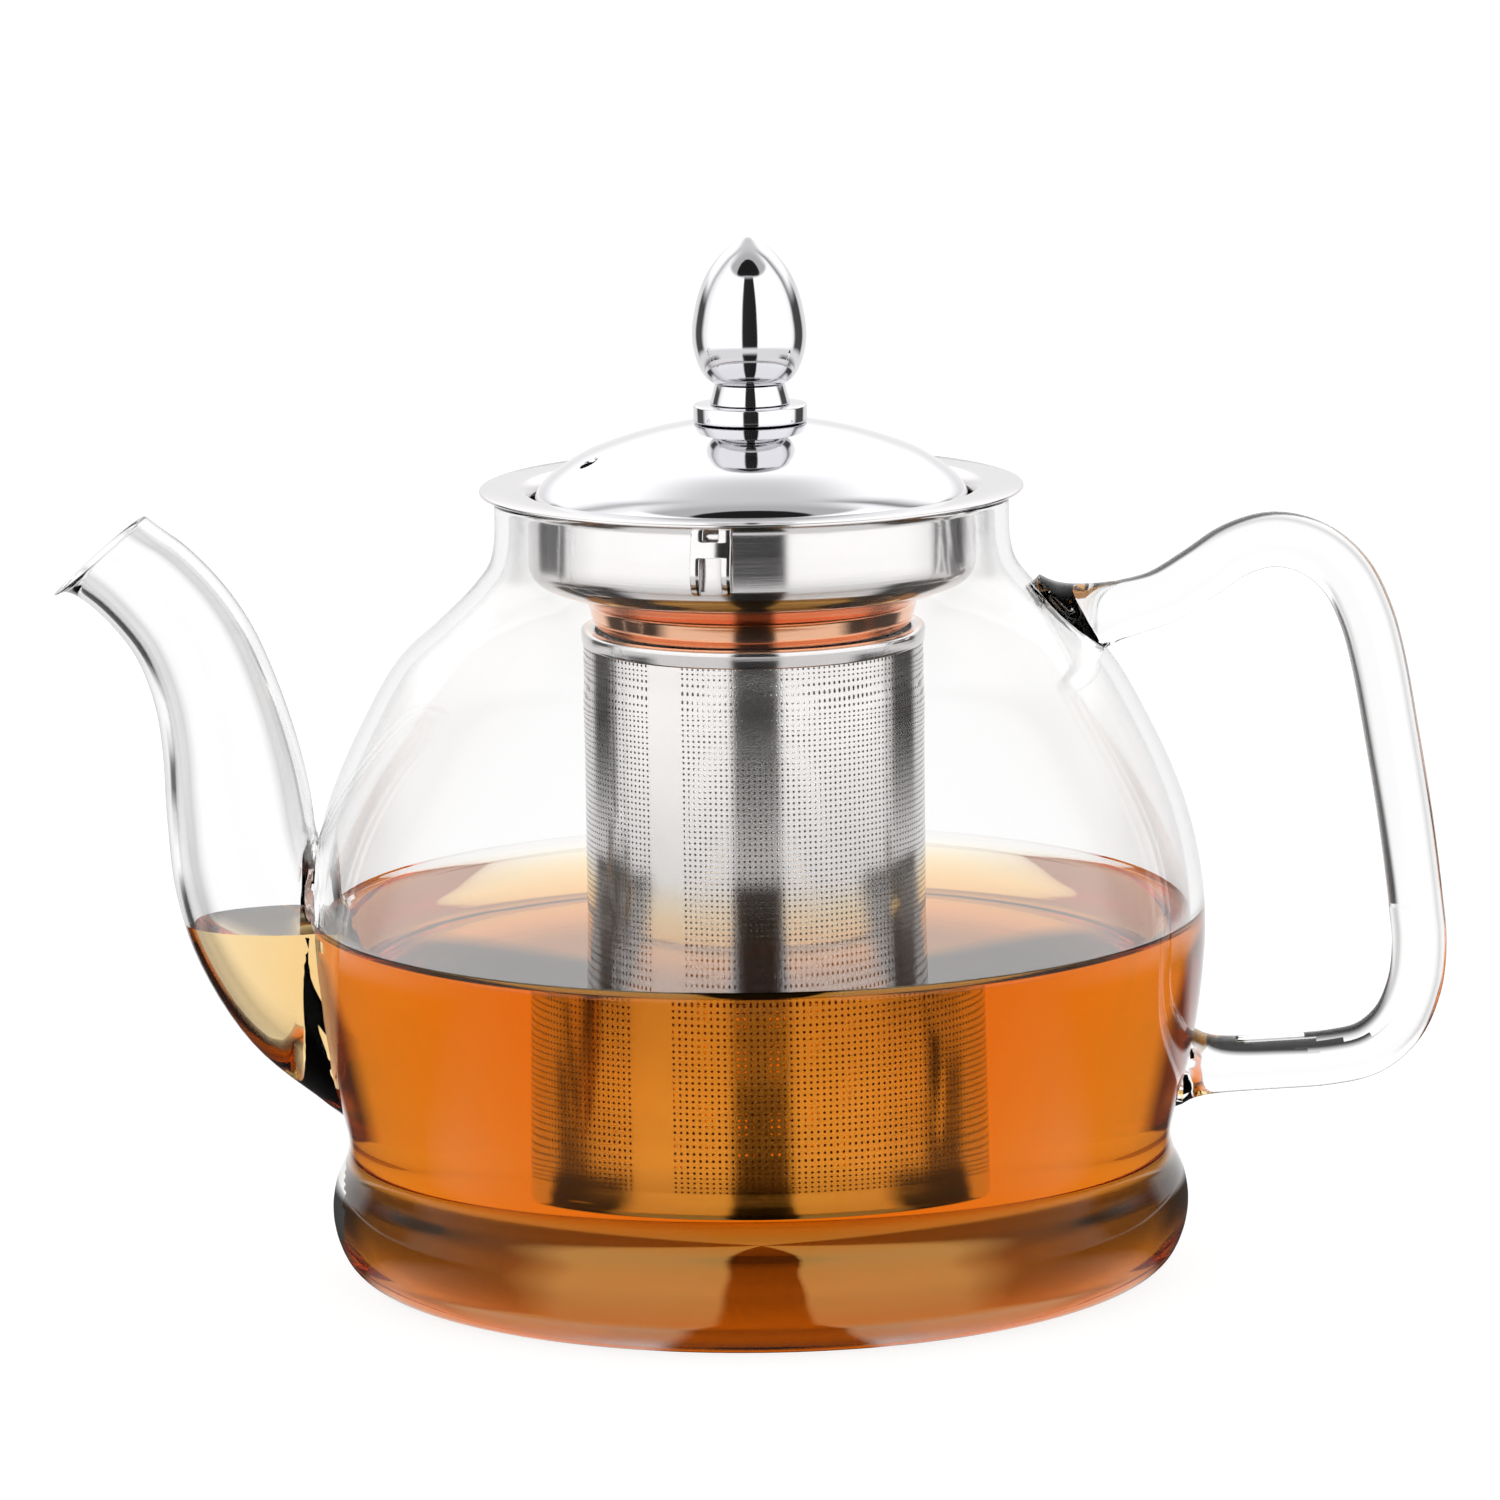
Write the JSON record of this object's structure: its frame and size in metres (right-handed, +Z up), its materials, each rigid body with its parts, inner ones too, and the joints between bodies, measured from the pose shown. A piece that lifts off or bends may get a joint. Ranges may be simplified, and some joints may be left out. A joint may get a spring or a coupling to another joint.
{
  "type": "glass teapot",
  "caption": "Clear glass teapot with a fused spout and rod handle, a drop-in perforated steel infuser, and a domed steel lid with a pointed knob.",
  "frame": {"origin": "centre of the base's resting face, on the pot's axis", "axes": "+Z up along the pot's axis, +X towards the handle, -X towards the spout, -Y towards the viewer"},
  "size_m": [0.2057, 0.133, 0.1536],
  "materials": {
    "clear_glass": "clear, fire-polished borosilicate glass",
    "mirror_steel": "mirror-polished stainless steel",
    "satin_steel": "satin stainless steel, brushed round the axis",
    "perforated_steel": "finely perforated stainless steel sheet"
  },
  "bodies": {
    "pot": {"glass_body": "clear_glass", "glass_spout": "clear_glass", "glass_handle": "clear_glass"},
    "infuser": {"infuser_collar": "satin_steel", "infuser_top_ring": "satin_steel", "infuser_tube": "perforated_steel", "infuser_base": "satin_steel"},
    "clip_1": {"spring_clip_1": "satin_steel"},
    "clip_2": {"spring_clip_2": "satin_steel"},
    "clip_3": {"spring_clip_3": "satin_steel"},
    "lid": {"lid_dome": "mirror_steel", "lid_skirt": "satin_steel", "knob_plate": "mirror_steel", "knob_ferrule": "mirror_steel", "knob_finial": "mirror_steel", "knob_screw": "satin_steel", "knob_washer": "satin_steel"}
  },
  "joints": [
    {"name": "infuser_lift", "type": "slide", "parent": "pot", "child": "infuser", "axis": [0, 0, 1], "range_m": [0, 0.125]},
    {"name": "lid_lift", "type": "slide", "parent": "infuser", "child": "lid", "axis": [0, 0, 1], "range_m": [0, 0.05]},
    {"name": "clip_1_flex", "type": "hinge", "parent": "infuser", "child": "clip_1", "pos_m": [-0.00643, -0.03308, 0.1143], "axis": [0.9816, -0.1908, 0], "range_deg": [0, 3], "stiffness_Nm_per_rad": 0.3},
    {"name": "clip_2_flex", "type": "hinge", "parent": "infuser", "child": "clip_2", "pos_m": [0.03186, 0.01097, 0.1143], "axis": [-0.3256, 0.9455, 0], "range_deg": [0, 3], "stiffness_Nm_per_rad": 0.3},
    {"name": "clip_3_flex", "type": "hinge", "parent": "infuser", "child": "clip_3", "pos_m": [-0.02543, 0.02211, 0.1143], "axis": [-0.6561, -0.7547, 0], "range_deg": [0, 3], "stiffness_Nm_per_rad": 0.3}
  ]
}
